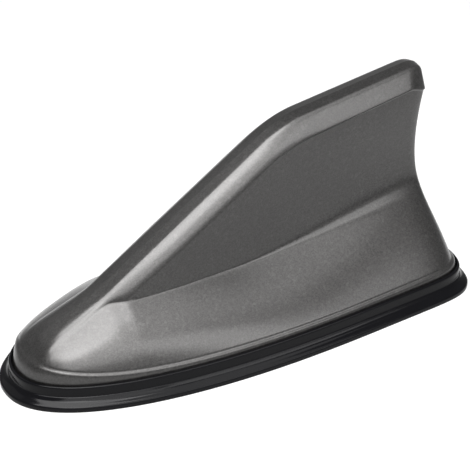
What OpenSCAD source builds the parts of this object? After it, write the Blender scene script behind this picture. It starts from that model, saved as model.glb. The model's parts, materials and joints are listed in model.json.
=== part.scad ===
// Roof aerial in the shape of a shark's fin, stuck flat on a car's roof.
// The nose points to -X and the tail to +X. The underside of the rubber skirt is at z = 0.
// The painted cover is one surface drawn through ribs that run from the base outline up to the spine.

/* [Footprint] */
// Length over the rubber skirt
body_length = 155; // [140:1:175]
// Width over the rubber skirt
body_width = 69.6; // [62:0.2:78]
// Distance from the nose to the widest place
widest_from_nose = 110; // [95:1:120]
// How far the rubber skirt stands out past the cover at the nose and sides
skirt_front = 4.3; // [3:0.1:6]
// How far the rubber skirt stands out past the cover at the tail
skirt_rear = 2.4; // [2:0.1:4]

/* [Cover] */
// Wall of the moulded cover
wall = 2.2; // [1.8:0.1:2.6]
// Height of the cover's bottom edge above the roof
cover_z = 5; // [4.5:0.1:6]
// Height of the low edge that runs round the sides
lip_z = 8; // [7.5:0.1:10]
// Extra height of that edge at the nose
lip_rise = 4.9; // [4:0.1:6]
// Distance behind the nose where the spine's face begins
spine_from_nose = 10; // [8:0.5:13]
// Distance from the tail of the skirt to the fin's tip
tip_from_tail = 4.5; // [3.5:0.1:6]
// Width of the spine's face at the nose
spine_nose_width = 11.2; // [9:0.2:12]
// Width of the spine's face at the foot of the ramp
spine_ramp_width = 8.8; // [8:0.2:10]
// Width of the spine's face at the tip
spine_tip_width = 7.4; // [7:0.2:9]
// Foot of the ramp, measured from the nose
ramp_from_nose = 30.5; // [27:0.5:34]
// Height of the spine at the foot of the ramp
ramp_foot_z = 24.2; // [22:0.2:26]
// Slope of the spine before the ramp, in degrees
nose_slope = 22.3; // [20:0.1:25]
// Slope of the ramp, in degrees
ramp_slope = 31.25; // [30:0.25:32.5]
// Slope of the fin's top, in degrees
top_slope = 6.6; // [5:0.1:8]
// Bend between the ramp and the fin's top, measured from the nose
bend_from_nose = 95.5; // [90:0.5:100]
// Length over which the fin's top rounds down to its rear corner
tip_round = 8.5; // [5:0.5:9]
// Drop of the fin's top at that corner
tip_fall = 3; // [2:0.1:4]
// How far the fin's top lies ahead of the foot of the rail at the rear
tip_back = 1.5; // [0.5:0.1:3]
// Depth of the raised rail under the spine, on the ramp
rail_ramp_depth = 5.8; // [5:0.1:7]
// Depth of the raised rail on the fin's top
rail_top_depth = 5.8; // [5:0.1:7]
// How far the foot of the rail stands out past the spine's edge, on the ramp
rail_ramp_out = 3.9; // [3:0.1:4.6]
// How far it stands out on the fin's top
rail_top_out = 3.8; // [3:0.1:5]
// How far the fin's flank lies behind the foot of the rail at the tip
rail_step = 0.7; // [0.3:0.1:1]
// Height of the crease where the fin meets the body
crease_z = 22.3; // [20:0.1:24]
// Rise of that crease towards the tail
crease_rise = 5.5; // [4:0.5:10]
// Depth of the hollow in the trailing edge
tail_hollow = 4; // [2:0.1:5]

/* [Rubber skirt] */
// Height of the rubber lip that hugs the cover
skirt_top = 6.9; // [6.4:0.1:7.5]
// Width of the web that runs under the base plate
web_width = 8; // [6:0.5:10]
// Thickness of the web, and of the adhesive pad beside it
web = 1.2; // [1:0.1:1.6]

/* [Base plate] */
// Thickness of the base plate
plate = 2.5; // [2:0.1:3]
// Gap between the base plate and the rubber round it
plate_gap = 0.15; // [0.1:0.05:0.3]
// Distance from each side of the skirt to the opening over the car's aerial hole
hole_from_side = 21.8; // [20.8:0.5:24.8]
// Distance from the nose to the front of the opening
hole_from_nose = 33.5; // [33:0.5:36]
// Distance from the rear of the opening to the circuit board
hole_to_board = 8; // [6:0.5:12]
// Height of the wall round the opening
well_height = 5; // [3:0.5:6]
// Top of the posts that carry the earth plate
post_z = 8; // [7.5:0.1:9]

/* [Screws] */
// Shank of the screws that hold the cover down
cover_screw = 2.9; // [2.5:0.1:3.5]
// Length of those screws under the head
cover_screw_length = 8.5; // [7:0.5:9]
// Shank of the screws that hold the circuit board
board_screw = 2.5; // [2:0.1:3]
// Length of those screws under the head
board_screw_length = 7; // [6:0.5:7.5]

/* [Electronics] */
// Thickness of the earth plate
earth = 0.8; // [0.6:0.1:1]
// Height of the pressed rings that the circuit board lies on
emboss = 1; // [0.8:0.1:1.5]
// Length of the circuit board
board_length = 54; // [52:1:56]
// Width of the circuit board
board_width = 30; // [28:1:32]
// Thickness of the circuit board
board = 1.6; // [1.4:0.1:1.8]
// Distance from the tail to the rear edge of the circuit board
board_from_tail = 15.5; // [14.5:0.5:16.5]
// Bore of the lead's socket
socket_bore = 4; // [3.8:0.1:4.2]

/* [Radiator] */
// Thickness of the moulded frame that stands in the fin
frame = 1.6; // [1.4:0.1:1.8]
// Thickness of the folded top sheet
sheet = 0.4; // [0.3:0.05:0.5]
// Diameter of the coil's wire
wire = 0.7; // [0.6:0.05:0.8]
// Diameter of the coil over the wire
coil_outer = 5.6; // [5.2:0.1:6]
// Turns of the coil
coil_turns = 12; // [8:1:14]
// Distance from the front of the frame's foot to the centre of the coil
coil_from_foot = 10; // [9:0.5:11]

/* [Hidden] */
$fn = 48;

nose_x = -body_length / 2;
tail_x = body_length / 2;
mid_x = nose_x + widest_from_nose;
cover_front = nose_x + skirt_front;
cover_rear = tail_x - skirt_rear;
cover_half = body_width / 2 - skirt_front;
spine_front = nose_x + spine_from_nose;
spine_rear = tail_x - tip_from_tail;
ramp_x = nose_x + ramp_from_nose;
bend_x = nose_x + bend_from_nose;
bend_z = ramp_foot_z + tan(ramp_slope) * (bend_x - ramp_x);

// Exponents of the rounded outline, along and across: at the nose, at the tail and for the fin's squarer tail
nose_powers = [2.3, 2.2];
tail_powers = [8.7, 4.5];
fin_tail_power = 12;
nose_steps = 24;
tail_steps = 20;

plate_z = web;
plate_top = plate_z + plate;
earth_z = post_z;
board_z = earth_z + earth + emboss;
board_top = board_z + board;
board_rear = tail_x - board_from_tail;
board_front = board_rear - board_length;
board_mid = board_front + board_length / 2;
hole_length = board_front - hole_to_board - nose_x - hole_from_nose;
hole_x = nose_x + hole_from_nose + hole_length / 2;
hole_width = body_width - 2 * hole_from_side;

// Places on the board, from front to rear: the header, the screening can and the foot of the radiator frame
header_size = [6.6, 6, 5.5];
can_size = [18, 15, 3];
can_sheet = 0.3;
header_to_can = 2.4;
can_to_foot = 1;
can_x = board_front + header_size[0] + header_to_can + can_size[0] / 2;
foot_x = can_x + can_size[0] / 2 + can_to_foot;
foot_length = 21;
coil_x = foot_x + coil_from_foot;
coil_low = 17;
coil_high = 34;

// Top edge of the radiator frame: two points at a depth under the straight line of the fin's top
frame_depth = 9.1;
frame_top = [
    for (x = [bend_x + 2, spine_rear - 13])
        [x, bend_z + tan(top_slope) * (x - bend_x) - frame_depth]
];

function clamp01(x) = min(1, max(0, x));
function ease(a, b, x) = let (t = clamp01((x - a) / (b - a))) t * t * (3 - 2 * t);
function mix(a, b, t) = a + (b - a) * t;
function soft_min(a, b, k) = let (h = clamp01(0.5 + 0.5 * (b - a) / k)) mix(b, a, h) - k * h * (1 - h);
function soft_max(a, b, k) = -soft_min(-a, -b, k);
function bezier(p, t) =
    pow(1 - t, 3) * p[0] + 3 * t * pow(1 - t, 2) * p[1] + 3 * t * t * (1 - t) * p[2] + pow(t, 3) * p[3];

// A point of a rounded outline. u runs from 0 at the nose, past 1 at the widest place, to 2 at the tail.
function outline(u, front, rear, half) = u <= 1
    ? [mid_x - (mid_x - front) * pow(cos(90 * u), 2 / nose_powers[0]),
       half * pow(sin(90 * u), 2 / nose_powers[1])]
    : [mid_x + (rear - mid_x) * pow(sin(90 * (u - 1)), 2 / tail_powers[0]),
       half * pow(max(0, cos(90 * (u - 1))), 2 / tail_powers[1])];

// The cover's own outline, set in by a distance
function cover_line(u, in) = outline(u, cover_front + in, cover_rear - in, cover_half - in);

// Places along the outline, closer together where it curves
places = concat(
    [for (i = [0 : nose_steps]) 1 - pow(1 - i / nose_steps, 1.35)],
    [for (i = [1 : tail_steps]) 1 + pow(1 - pow(1 - i / tail_steps, 1.35), 4.35)]
);

// Height of the spine's face: a short nose, the ramp and the fin's top, blended into each other
function spine_z(x) =
    let (nose = ramp_foot_z + tan(nose_slope) * (x - ramp_x))
    let (start = 14.2 + (x - spine_front))
    let (ramp = ramp_foot_z + tan(ramp_slope) * (x - ramp_x))
    let (top = bend_z + tan(top_slope) * (x - bend_x))
    soft_min(soft_min(soft_max(nose, ramp, 0.6), start, 3), top, 4);

function spine_half(x) = 0.5 * (x < ramp_x
    ? mix(spine_nose_width, spine_ramp_width, clamp01((x - spine_front) / (ramp_x - spine_front)))
    : mix(spine_ramp_width, spine_tip_width, clamp01((x - ramp_x) / (spine_rear - ramp_x))));

// How far the rounded corner of the tip lies under the straight line of the spine
function tip_drop(x, rear) =
    let (share = clamp01((x - rear) / tip_round + 1))
    tip_fall * (1 - sqrt(1 - share * share));

// One rib of the cover, from the bottom edge to the middle of the spine. in is the depth under the
// painted surface: 0 gives the outside, the wall's thickness gives the inside.
function rib(u, in, body_steps, flank_steps, rail_steps) =
    let (foot = cover_line(u, in))
    let (sx = outline(u, spine_front + in, spine_rear - in, 1)[0])
    let (half = spine_half(sx) - in)
    let (fade = u <= 1 ? 1 : pow(max(0, cos(90 * (u - 1))), 2 / fin_tail_power))
    let (front = u < 1 ? exp(-pow(foot[1] / 8, 2)) : 0)
    let (top_z = spine_z(sx) - in)
    let (drop = tip_drop(sx, spine_rear - in))
    let (edge_z = lip_z + lip_rise * exp((cover_front - foot[0]) / 17) - 1.6 * front
        + 0.6 * ease(20, 70, foot[0]) - in / 3)
    let (groove = 1 - 0.9 * front)
    // Skirt of the cover, its soft top edge and the fine groove above it
    let (body_foot = cover_line(u, in + 0.85 + 0.6 * groove + 3.4 * front))
    let (body_z = edge_z + 0.55 * groove + 0.8 * front)
    let (skirt_points = in > 0
        ? [[foot, cover_z], [cover_line(u, in + 0.5), mix(cover_z, edge_z, 0.7)]]
        : [[foot, cover_z],
           [cover_line(u, 0.3 + 0.8 * front), mix(cover_z, edge_z, 0.6)],
           [cover_line(u, 0.5 + 1.7 * front), edge_z - 0.5 * groove - 0.6 * front],
           [cover_line(u, 0.85 + 2.2 * front), edge_z - 0.1 * groove],
           [cover_line(u, 0.85 + 0.5 * groove + 2.8 * front), edge_z + 0.05 * groove + 0.4 * front]])
    // Heights of the crease and of the rail's foot
    let (room = top_z - body_z)
    let (crease = crease_z + 1 - ease(-50, 10, sx) + crease_rise * ease(-5, 72, sx) - 0.8 * in)
    let (low_z = soft_min(crease, top_z - min(1.5, 0.5 * room), min(1.6, 0.5 * room)))
    let (rail_end = 2.5 * ease(-8, 0, sx - spine_rear))
    let (rail_depth = mix(rail_ramp_depth, rail_top_depth, ease(5, 25, sx)) + rail_end)
    let (rail_z = soft_max(low_z + min(0.3, 0.1 * room), top_z - rail_depth, 0.5))
    let (edge_drop = min(0.5, 0.15 * room))
    // Half widths at the spine's edge, the foot of the rail and the crease
    let (rail_share = clamp01((top_z - rail_z) / rail_depth) * (0.8 + 0.2 * ease(ramp_x, -20, sx)))
    let (rail_out = mix(rail_ramp_out, rail_top_out, ease(5, 25, sx)) * rail_share)
    let (low_out = rail_out + 0.3 + 0.5 * ease(ramp_x, -20, sx))
    let (edge_y = u < 1 ? soft_min(half, 0.8 * body_foot[1], 1.2) : half * fade)
    let (rail_y = u < 1 ? soft_min(half + rail_out, 0.87 * body_foot[1], 1.2) : (half + rail_out) * fade)
    let (low_y = u < 1 ? soft_min(half + low_out, 0.93 * body_foot[1], 2.5) : (half + low_out) * fade)
    let (width = edge_y / half)
    // Sideways sections of the body, of the fin's flank and of the rail
    let (chord = u < 2 ? atan2(low_z - body_z, body_foot[1] - low_y) : 0)
    let (foot_angle = chord + mix(26, 7, ease(-75, 30, sx)))
    let (shoulder = chord - mix(16, 4, ease(-75, 30, sx)))
    let (span = mix(0.3, 0.38, ease(-66, -52, sx)) * norm([body_foot[1] - low_y, low_z - body_z]))
    let (body_curve = [
        [body_foot[1], body_z],
        [body_foot[1] - span * cos(foot_angle) * fade, body_z + span * sin(foot_angle)],
        [low_y + span * cos(shoulder) * width, low_z - span * sin(shoulder)],
        [low_y, low_z]])
    let (flank_angle = mix(76, 52, ease(0, 72, sx)))
    let (step_in = rail_step * ease(0, 45, sx) * width)
    let (flank_span = norm([low_y - rail_y, rail_z - low_z]))
    let (flank_curve = [
        [low_y, low_z],
        [low_y - 0.22 * flank_span * cos(flank_angle) * width, low_z + 0.22 * flank_span * sin(flank_angle)],
        [rail_y - step_in, rail_z - 0.36 * flank_span],
        [rail_y - step_in, rail_z - 0.5 * step_in]])
    let (rail_foot = [rail_y, rail_z + 0.4 * edge_drop])
    let (rail_head = [edge_y, top_z - drop - edge_drop])
    let (third = (rail_head - rail_foot) / 3)
    let (fullness = mix(0.6, 0.1, ease(5, 30, sx)))
    let (rail_curve = [
        rail_foot,
        rail_foot + [(1 - fullness) * third[0], (1 + 0.5 * fullness) * third[1]],
        rail_head - [(1 + 0.5 * fullness) * third[0], (1 - 0.35 * fullness) * third[1]],
        rail_head])
    let (section = concat(
        [for (i = [0 : body_steps]) bezier(body_curve, i / body_steps)],
        [for (i = [1 : flank_steps]) bezier(flank_curve, i / flank_steps)],
        [for (i = [0 : rail_steps]) bezier(rail_curve, i / rail_steps)],
        [[edge_y * (1 - 0.35 / half), top_z - drop - 0.25 * edge_drop],
         [0, top_z - drop + 0.5 * width]]))
    // Each point's place along the body: a line from the foot to the spine, hollowed at the tail
    concat(
        [for (p = skirt_points) [p[0][0], p[0][1], p[1]]],
        [for (p = section)
            let (rise = clamp01((p[1] - body_z) / (top_z - body_z)))
            let (height = pow(clamp01((p[1] - cover_z) / (top_z - cover_z)), 1.5))
            let (hollow = tail_hollow * ease(30, 74, foot[0]) * 4 * height * (1 - height))
            let (lean = clamp01((p[1] - rail_z) / (top_z - rail_z)))
            let (back = tip_back * ease(spine_rear - 9, spine_rear, sx) * lean)
            [mix(body_foot[0], sx, rise) - hollow - back, p[0], p[1]]]
    );

// A net of ribs and its mirror image share their first rib, last rib and, unless looped, their last column
function net_index(i, j, rows, cols, mirrored, looped) =
    !mirrored || i == 0 || i == rows - 1 || (!looped && j == cols - 1)
    ? i * cols + j
    : rows * cols + (i - 1) * (looped ? cols : cols - 1) + j;

function net_points(ribs, looped) = concat(
    [for (r = ribs) each r],
    [for (i = [1 : len(ribs) - 2]) for (j = [0 : len(ribs[0]) - (looped ? 1 : 2)])
        [ribs[i][j][0], -ribs[i][j][1], ribs[i][j][2]]]
);

function flipped(f, flip) = flip ? [f[2], f[1], f[0]] : f;

function net_faces(rows, cols, looped, inward, first) = [
    for (side = [false, true]) for (i = [0 : rows - 2]) for (j = [0 : cols - (looped ? 1 : 2)])
        let (k = (j + 1) % cols)
        let (a = net_index(i, j, rows, cols, side, looped) + first)
        let (b = net_index(i + 1, j, rows, cols, side, looped) + first)
        let (c = net_index(i + 1, k, rows, cols, side, looped) + first)
        let (d = net_index(i, k, rows, cols, side, looped) + first)
        // The first row is split the other way, so that no face lies flat in the middle plane
        each [
            flipped(i > 0 ? [a, b, c] : [a, b, d], side != inward),
            flipped(i > 0 ? [a, c, d] : [b, c, d], side != inward)
        ]
];

// Flat strip across the foot of a net, which closes it
function foot_faces(rows, cols) = [
    for (i = [0 : rows - 2])
        let (a = net_index(i, 0, rows, cols, false, false))
        let (b = net_index(i + 1, 0, rows, cols, false, false))
        let (c = net_index(i + 1, 0, rows, cols, true, false))
        let (d = net_index(i, 0, rows, cols, true, false))
        each concat(b != c ? [[c, b, a]] : [], a != d ? [[d, c, a]] : [])
];

// Flat rim between the feet of an outer and an inner net
function rim_faces(rows, outer_cols, inner_cols, first) = [
    for (side = [false, true]) for (i = [0 : rows - 2])
        let (a = net_index(i, 0, rows, outer_cols, side, false))
        let (b = net_index(i + 1, 0, rows, outer_cols, side, false))
        let (c = net_index(i + 1, 0, rows, inner_cols, side, false) + first)
        let (d = net_index(i, 0, rows, inner_cols, side, false) + first)
        each [flipped([c, b, a], side), flipped([d, c, a], side)]
];

// Solid body of the cover down to a depth under its surface
module cover_core(in) {
    ribs = [for (u = places) rib(u, in, 3, 2, 2)];
    rows = len(ribs);
    cols = len(ribs[0]);
    polyhedron(
        net_points(ribs, false),
        concat(net_faces(rows, cols, false, false, 0), foot_faces(rows, cols))
    );
}

module cover_shell() {
    outer = [for (u = places) rib(u, 0, 7, 4, 4)];
    inner = [for (u = places) rib(u, wall, 4, 2, 2)];
    rows = len(places);
    outer_cols = len(outer[0]);
    inner_cols = len(inner[0]);
    outer_points = net_points(outer, false);
    first = len(outer_points);
    polyhedron(
        concat(outer_points, net_points(inner, false)),
        concat(
            net_faces(rows, outer_cols, false, false, 0),
            net_faces(rows, inner_cols, false, true, first),
            rim_faces(rows, outer_cols, inner_cols, first)
        )
    );
}

// Places of the screws that hold the cover down: one at the nose and two pairs in from the skirt's sides
cover_screw_places = concat(
    [[nose_x + 21.1, 0]],
    [for (side = [-1, 1]) [nose_x + 63.3, side * (body_width / 2 - 14.8)]],
    [for (side = [-1, 1]) [tail_x - 17, side * (body_width / 2 - 14.1)]]
);
boss_radius = 3.4;
head_height = 1.4;
head_radius = 2.9;
pilot_depth = cover_screw_length + 1.5 - (plate - head_height);

// Slots inside the fin that hold the radiator frame upright
guide_places = [frame_top[0][0] + 4, frame_top[1][0] - 6];
guide_size = [1.6, 8, 10];
guide_z = frame_top[0][1] - 5.5;
guide_gap = frame / 2 + sheet + 0.15;

module fin_cover() {
    color([0.36, 0.35, 0.34])
    difference() {
        union() {
            cover_shell();
            intersection() {
                cover_core(wall / 2);
                union() {
                    for (p = cover_screw_places)
                        translate([p[0], p[1], plate_top + 1])
                            cylinder(h = 30, r = boss_radius);
                    for (x = guide_places)
                        for (side = [-1, 1])
                            translate([x, side * (guide_gap + guide_size[1] / 2), guide_z])
                                cube(guide_size, center = true);
                }
            }
            for (p = cover_screw_places)
                translate([p[0], p[1], plate_top])
                    cylinder(h = 2.5, r = boss_radius);
        }
        for (p = cover_screw_places)
            translate([p[0], p[1], plate_top - 1])
                cylinder(h = pilot_depth + 1, d = cover_screw);
    }
}

// Section of the rubber skirt: distance out from the cover as a share of the skirt, or in millimetres
// inwards where it is negative, and height
seat_in = -wall - plate_gap;
web_in = -wall - web_width;
gasket_section = [
    [0.93, 0], [1, 0.4], [1, 1.4], [0.92, 1.9], [0.62, 2.45], [0.4, 3], [0.3, 3.5],
    [0.27, 4.1], [0.27, 6.2], [0.21, skirt_top - 0.15], [0.12, skirt_top], [0.03, skirt_top - 0.3],
    [0.03, cover_z], [seat_in, cover_z], [seat_in, web], [web_in, web], [web_in, 0]
];

function gasket_point(u, s) = s[0] < 0
    ? cover_line(u, -s[0])
    : mix(cover_line(u, 0), outline(u, nose_x, tail_x, body_width / 2), s[0]);

module base_gasket() {
    rings = [for (u = places) [for (s = gasket_section) let (p = gasket_point(u, s)) [p[0], p[1], s[1]]]];
    color([0.1, 0.1, 0.11])
    polyhedron(net_points(rings, true), net_faces(len(rings), len(rings[0]), true, false, 0));
}

// Flat shape inside the cover's outline, set in by a distance
module inside_shape(in) {
    side = [for (u = places) cover_line(u, in)];
    polygon(concat(side, [for (i = [len(side) - 2 : -1 : 1]) [side[i][0], -side[i][1]]]));
}

module rounded_box(size, radius) {
    linear_extrude(size[2])
        union() {
            square([size[0] - 2 * radius, size[1]], center = true);
            square([size[0], size[1] - 2 * radius], center = true);
            for (x = [-1, 1])
                for (y = [-1, 1])
                    translate([x * (size[0] / 2 - radius), y * (size[1] / 2 - radius)])
                        circle(radius);
        }
}

module at_each(places_list, z) {
    for (p = places_list)
        translate([p[0], p[1], z])
            children();
}

// Board screws stand in from the corners of the circuit board
board_screw_places = [
    for (x = [board_front + 4, board_rear - 4])
        for (side = [-1, 1])
            [x, side * (board_width / 2 - 3.5)]
];
post_radius = 3;
well_wall = 1.6;
rib_thickness = 1.2;
rib_places = [nose_x + 28.5, board_front + 4, board_front + 22, board_rear - 14];

module base_plate() {
    color([0.16, 0.16, 0.17])
    difference() {
        union() {
            translate([0, 0, plate_z])
                linear_extrude(plate)
                    inside_shape(wall + 2 * plate_gap);
            translate([hole_x, 0, plate_top])
                rounded_box([hole_length + 2 * well_wall, hole_width + 2 * well_wall, well_height], 6);
            at_each(board_screw_places, plate_top)
                cylinder(h = post_z - plate_top, r = post_radius);
            for (x = rib_places)
                translate([x - rib_thickness / 2, -9, plate_top])
                    cube([rib_thickness, 18, 2.5]);
        }
        translate([hole_x, 0, plate_z - 1])
            rounded_box([hole_length, hole_width, well_height + plate + 2], 5);
        // A notch in the well's wall lets the lead reach its socket
        translate([hole_x + hole_length / 2 - 1, socket_y - 4, plate_top + 1])
            cube([well_wall + 2, 8, well_height]);
        at_each(board_screw_places, plate_z + 1.3)
            cylinder(h = post_z, d = board_screw);
        at_each(cover_screw_places, plate_z - 1)
            cylinder(h = plate + 2, d = cover_screw + 0.4);
        at_each(cover_screw_places, plate_z - 1)
            cylinder(h = head_height + 1, r = head_radius + 0.3);
    }
}

module adhesive_pad() {
    color([0.55, 0.12, 0.1])
    difference() {
        linear_extrude(web)
            inside_shape(wall + web_width + 0.5);
        translate([hole_x, 0, -1])
            rounded_box([hole_length, hole_width, web + 2], 5);
    }
}

// A pan-head screw with a cross recess, its head's underside at z = 0 and its shank pointing up
module screw(shank, length, radius, height) {
    difference() {
        union() {
            translate([0, 0, -height])
                cylinder(h = height, r = radius);
            cylinder(h = length - shank, d = shank);
            translate([0, 0, length - shank])
                cylinder(h = shank, d1 = shank, d2 = shank * 0.3);
        }
        for (turn = [0, 90])
            rotate(turn)
                translate([-radius * 0.55, -radius * 0.11, -height - 1])
                    cube([radius * 1.1, radius * 0.22, 1 + height * 0.6]);
    }
}

module cover_screws() {
    color([0.75, 0.76, 0.78])
    at_each(cover_screw_places, plate_z + head_height)
        screw(cover_screw, cover_screw_length, head_radius, head_height);
}

module board_screws() {
    color([0.78, 0.75, 0.6])
    at_each(board_screw_places, board_top)
        mirror([0, 0, 1])
            screw(board_screw, board_screw_length, 2.3, 1.5);
}

module earth_plate() {
    color([0.7, 0.71, 0.72])
    difference() {
        union() {
            translate([board_mid, 0, earth_z])
                rounded_box([board_length + 3, board_width + 3, earth], 3);
            at_each(board_screw_places, earth_z)
                cylinder(h = earth + emboss, r = post_radius);
            // Turned-down rear edge
            translate([board_rear + 1.5 - earth, -10, earth_z - 2.5])
                cube([earth, 20, 3]);
        }
        at_each(board_screw_places, earth_z - 1)
            cylinder(h = earth + emboss + 2, d = board_screw + 0.4);
        translate([foot_x + foot_length / 2, 0, earth_z - 1])
            rounded_box([foot_length + 4, 5, 3], 2);
    }
}

// Feet of the radiator frame, which stand in slots of the circuit board
foot_width = 4;
foot_places = [foot_x + foot_width / 2, foot_x + foot_length - foot_width / 2];

module amplifier_board() {
    color([0.08, 0.33, 0.16])
    difference() {
        translate([board_mid, 0, board_z])
            rounded_box([board_length, board_width, board], 2);
        at_each(board_screw_places, board_z - 1)
            cylinder(h = board + 2, d = board_screw + 0.3);
        for (x = foot_places)
            translate([x - foot_width / 2 - 0.1, -frame / 2 - 0.1, board_z - 1])
                cube([foot_width + 0.2, frame + 0.2, board + 2]);
    }
}

// Screening can over the amplifier: a fence soldered to the board and a lid pressed on it
module shield_frame() {
    color([0.76, 0.77, 0.78])
    translate([can_x, 0, board_top])
        difference() {
            rounded_box(can_size, 0.8);
            translate([0, 0, -1])
                rounded_box([can_size[0] - 2 * can_sheet, can_size[1] - 2 * can_sheet, can_size[2] + 2], 0.6);
        }
}

module shield_lid() {
    color([0.8, 0.81, 0.82])
    translate([can_x, 0, board_top])
        difference() {
            translate([0, 0, 1])
                rounded_box(can_size + [2 * can_sheet, 2 * can_sheet, can_sheet - 1], 1);
            rounded_box(can_size, 0.8);
        }
}

module gull_leads(count, pitch, reach, width) {
    for (side = [-1, 1])
        for (i = [0 : count - 1])
            translate([(i - (count - 1) / 2) * pitch - width / 2, side > 0 ? reach - 1.2 : -reach, 0])
                cube([width, 1.2, 0.25]);
}

module amplifier_chip() {
    color([0.12, 0.12, 0.13])
    translate([can_x, 0, board_top]) {
        translate([-2.5, -2, 0])
            cube([5, 4, 1.5]);
        gull_leads(4, 1.27, 3, 0.4);
    }
}

module voltage_regulator() {
    color([0.13, 0.13, 0.14])
    translate([can_x - 5, -can_size[1] / 2 - 3.7, board_top]) {
        translate([-3.2, -1.75, 0])
            cube([6.4, 3.5, 1.6]);
        for (x = [-2.3, 0, 2.3])
            translate([x - 0.35, -3.4, 0])
                cube([0.7, 2, 0.3]);
        translate([-1.5, 1.5, 0])
            cube([3, 1.9, 0.3]);
    }
}

// Half the can's length and width, from which the small parts inside and outside it are placed
can_half = [can_size[0] / 2, can_size[1] / 2];
capacitor_places = concat(
    [for (x = [-1, 1]) for (y = [-1, 1]) [can_x + x * (can_half[0] - 2), y * (can_half[1] - 2.9)]],
    [[can_x + 5, 0]],
    [for (y = [1.5, 4.5]) [can_x + can_half[0] + 2, can_half[1] + y]],
    [for (x = [2, 6]) [can_x + x, -can_half[1] - 3.5]]
);
inductor_places = [
    [can_x - can_half[0] / 2 + 1, can_half[1] - 2.7], [can_x + can_half[0] / 2 - 1, can_half[1] - 2.7],
    [can_x + can_half[0] + 6, can_half[1] + 1.5]
];

module chip_capacitors() {
    color([0.62, 0.5, 0.36])
    at_each(capacitor_places, board_top)
        translate([-0.8, -0.4, 0])
            cube([1.6, 0.8, 0.8]);
}

module chip_inductors() {
    color([0.2, 0.2, 0.22])
    at_each(inductor_places, board_top)
        translate([-1.25, -1, 0])
            cube([2.5, 2, 1.2]);
}

// Small aluminium can with a moulded foot
can_place = [board_rear - 12, 6 - board_width / 2];

module capacitor_base() {
    color([0.1, 0.1, 0.1])
    translate([can_place[0], can_place[1], board_top])
        linear_extrude(1)
            polygon([[-3.2, -3.2], [2.2, -3.2], [3.2, -2.2], [3.2, 2.2], [2.2, 3.2], [-3.2, 3.2]]);
}

module smoothing_capacitor() {
    color([0.8, 0.8, 0.82])
    translate([can_place[0], can_place[1], board_top + 1])
        rotate_extrude()
            polygon([[0, 0], [3, 0], [3, 1.1], [2.8, 1.3], [3, 1.5], [3, 4.6], [2.7, 4.9], [0, 4.9]]);
}

// Coaxial socket on the front edge of the board, its mouth towards the opening
socket_y = -5.2;
socket_z = board_top + 3.2;
socket_block = 6.4;
socket_reach = 6;
socket_wall = 0.6;

module socket_shell() {
    color([0.83, 0.68, 0.35])
    translate([board_front, socket_y, socket_z])
        difference() {
            union() {
                translate([0.5, -socket_block / 2, -socket_block / 2])
                    cube([5, socket_block, socket_block]);
                rotate([0, -90, 0])
                    translate([0, 0, -1])
                        cylinder(h = socket_reach + 1, d = socket_bore + 2 * socket_wall);
            }
            rotate([0, -90, 0])
                translate([0, 0, -3])
                    cylinder(h = socket_reach + 4, d = socket_bore);
        }
}

module socket_insulator() {
    color([0.93, 0.93, 0.9])
    translate([board_front, socket_y, socket_z])
        rotate([0, -90, 0])
            translate([0, 0, -3])
                difference() {
                    cylinder(h = 3.5, d = socket_bore);
                    translate([0, 0, -1])
                        cylinder(h = 6, d = 0.9);
                }
}

module socket_pin() {
    color([0.88, 0.74, 0.3])
    translate([board_front, socket_y, socket_z])
        rotate([0, -90, 0])
            translate([0, 0, -3])
                cylinder(h = 7.5, d = 0.9);
}

// Two-way header for the supply lead
header_place = [board_front, 2.4];
pin_thickness = 0.64;

module power_header() {
    color([0.9, 0.88, 0.8])
    translate([header_place[0], header_place[1], board_top])
        difference() {
            cube(header_size);
            translate([-1, 0.7, 1])
                cube([6, 4.6, 3.8]);
            for (y = [2, 4])
                translate([3, y - pin_thickness / 2, 2.6])
                    cube([header_size[0], pin_thickness, pin_thickness]);
        }
}

module power_pins() {
    color([0.85, 0.8, 0.6])
    for (y = [2, 4])
        translate([header_place[0] + 1, header_place[1] + y - pin_thickness / 2, board_top])
            union() {
                translate([0, 0, 2.6])
                    cube([header_size[0] - 0.1, pin_thickness, pin_thickness]);
                translate([header_size[0] - 0.1 - pin_thickness, 0, 0])
                    cube([pin_thickness, pin_thickness, 3]);
            }
}

// Side view of the radiator frame, from its foot up the front, along the top and down the rear
frame_side = [
    [foot_x, board_top], [foot_x, coil_low + 9], frame_top[0] - [3, 11.5], frame_top[0] - [3, 3],
    frame_top[0], frame_top[1], frame_top[1] + [1, -2.5],
    [foot_x + foot_length, coil_high + 2], [foot_x + foot_length, board_top]
];

module side_plate(points, thickness) {
    rotate([90, 0, 0])
        translate([0, 0, -thickness / 2])
            linear_extrude(thickness)
                polygon(points);
}

module radiator_frame() {
    color([0.2, 0.2, 0.21])
    difference() {
        union() {
            side_plate(frame_side, frame);
            for (x = foot_places)
                translate([x - foot_width / 2, -frame / 2, board_z - 0.8])
                    cube([foot_width, frame, board + 1]);
        }
        translate([coil_x - 5, -2, coil_low])
            cube([10, 4, coil_high - coil_low]);
        side_plate([
            [frame_top[0][0] + 4, frame_top[0][1] - 13.5], [coil_x - 13, coil_high], [coil_x - 9, coil_high],
            [coil_x - 9, frame_top[0][1] - 11.5], frame_top[0] + [4, -12]
        ], frame + 2);
    }
}

former_core = coil_outer - 2 * wire - 0.15;

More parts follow.
